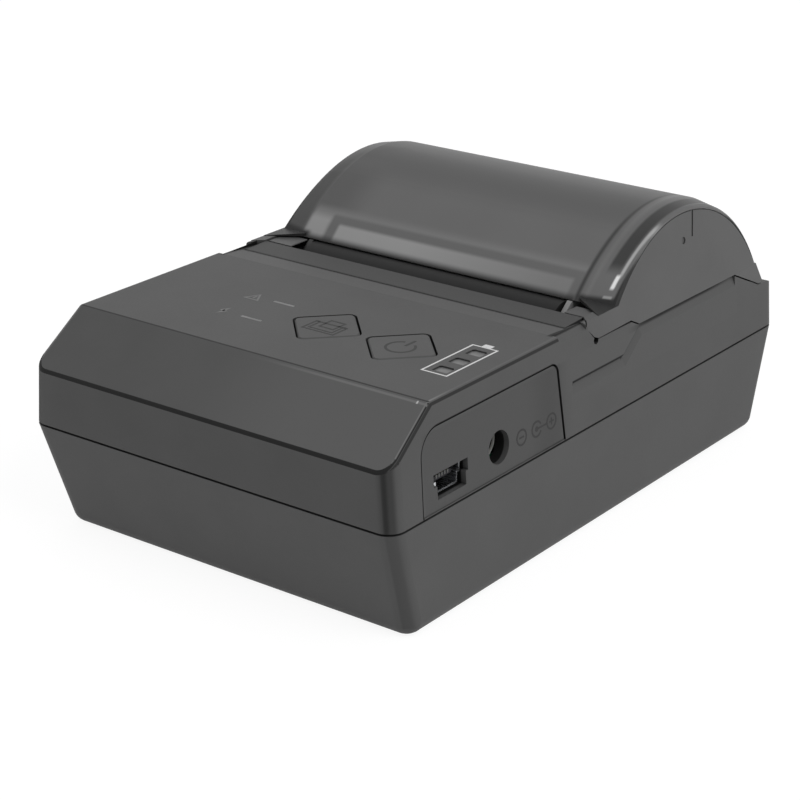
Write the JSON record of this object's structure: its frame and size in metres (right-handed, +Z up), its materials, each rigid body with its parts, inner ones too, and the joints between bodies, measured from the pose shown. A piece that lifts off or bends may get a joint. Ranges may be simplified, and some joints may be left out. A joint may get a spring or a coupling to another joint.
{
  "type": "portable receipt printer",
  "caption": "Handheld thermal receipt printer: wedge-fronted case, hinged domed smoked cover over a paper roll well, side ports and deck keys.",
  "frame": {"origin": "on the surface that it stands on, under the middle of the case", "axes": "+X to the right across the paper, -Y the front with the keys, +Y the hinge, +Z up"},
  "size_m": [0.082, 0.1282, 0.054],
  "materials": {
    "case_plastic": "fine moulded texture",
    "cover_plastic": "satin",
    "smoked_window": "clear smoked, polished",
    "bracket_steel": "satin",
    "key_rubber": "satin",
    "platen_rubber": "ground matt",
    "steel": "bright",
    "frame_steel": "zinc plated",
    "aluminium": "as cast",
    "ceramic": "glazed print line",
    "gear_nylon": "natural",
    "bushing_plastic": "black acetal",
    "board": "solder mask",
    "chip": "matt",
    "ribbon": "film",
    "battery_wrap": "satin",
    "brass": "plated",
    "lens": "frosted",
    "spring_steel": "drawn",
    "screw_steel": "blackened"
  },
  "bodies": {
    "case": {"lower_case": "case_plastic", "upper_case": "case_plastic", "exit_bar": "case_plastic", "port_panel": "case_plastic", "paper_well": "case_plastic", "idler_pin": "steel", "stepper_motor": "frame_steel", "mech_frame": "frame_steel", "head_pivot_pin": "steel", "paper_guide": "case_plastic", "paper_sensor": "chip", "tear_bar": "steel", "battery_pack": "battery_wrap", "battery_contacts": "brass", "main_board": "board", "board_chips": "chip", "cable_socket": "gear_nylon", "head_cable": "ribbon", "key_board": "board", "board_link": "ribbon", "tact_switches": "chip", "board_screws": "screw_steel", "usb_shell": "steel", "usb_tongue": "chip", "usb_contacts": "brass", "dc_jack_body": "chip", "dc_jack_pin": "steel", "gauge_lenses": "lens", "status_light_pipes": "lens", "hinge_pins": "steel", "case_screws": "screw_steel", "mech_screws": "screw_steel", "well_screws": "screw_steel"},
    "cover": {"cover_window": "smoked_window", "cover_frame": "cover_plastic", "platen_bracket": "bracket_steel", "platen_bushings": "bushing_plastic", "bracket_screws": "screw_steel"},
    "platen": {"platen_shaft": "steel", "platen_rubber": "platen_rubber", "platen_gear": "gear_nylon"},
    "idler": {"idler_gear": "gear_nylon"},
    "motor": {"motor_pinion": "brass", "motor_shaft": "steel"},
    "head": {"head_heatsink": "aluminium", "thermal_head": "ceramic", "head_springs": "spring_steel"},
    "feed_key": {"feed_button": "key_rubber", "feed_plunger": "chip"},
    "power_key": {"power_button": "key_rubber", "power_plunger": "chip"},
    "battery_cover": {"battery_door": "case_plastic"}
  },
  "joints": [
    {"name": "cover_hinge", "type": "hinge", "parent": "case", "child": "cover", "pos_m": [0, 0.0612, 0.0295], "axis": [-1, 0, 0], "range_deg": [0, 90]},
    {"name": "platen_spin", "type": "hinge", "parent": "cover", "child": "platen", "pos_m": [0, 0.0029, 0.0361], "axis": [1, 0, 0], "continuous": true},
    {"name": "idler_spin", "type": "hinge", "parent": "case", "child": "idler", "pos_m": [0, 0.00165, 0.0282], "axis": [1, 0, 0], "continuous": true},
    {"name": "motor_spin", "type": "hinge", "parent": "case", "child": "motor", "pos_m": [0, -0.00084, 0.01903], "axis": [1, 0, 0], "continuous": true},
    {"name": "head_tilt", "type": "hinge", "parent": "case", "child": "head", "pos_m": [0, -0.0056, 0.0268], "axis": [1, 0, 0], "range_deg": [0, 2.5], "stiffness_Nm_per_rad": 1, "springref_deg": -2.86},
    {"name": "feed_press", "type": "slide", "parent": "case", "child": "feed_key", "axis": [0, 0, -1], "range_m": [0, 0.0004], "stiffness_N_per_m": 1500, "springref_m": -0.0004},
    {"name": "power_press", "type": "slide", "parent": "case", "child": "power_key", "axis": [0, 0, -1], "range_m": [0, 0.0004], "stiffness_N_per_m": 1500, "springref_m": -0.0004},
    {"name": "battery_cover_slide", "type": "slide", "parent": "case", "child": "battery_cover", "axis": [0, 1, 0], "range_m": [0, 0.005]}
  ],
  "couplings": [
    {"joint": "idler_spin", "follows": "platen_spin", "ratio": -1},
    {"joint": "motor_spin", "follows": "platen_spin", "ratio": 2.1667}
  ]
}
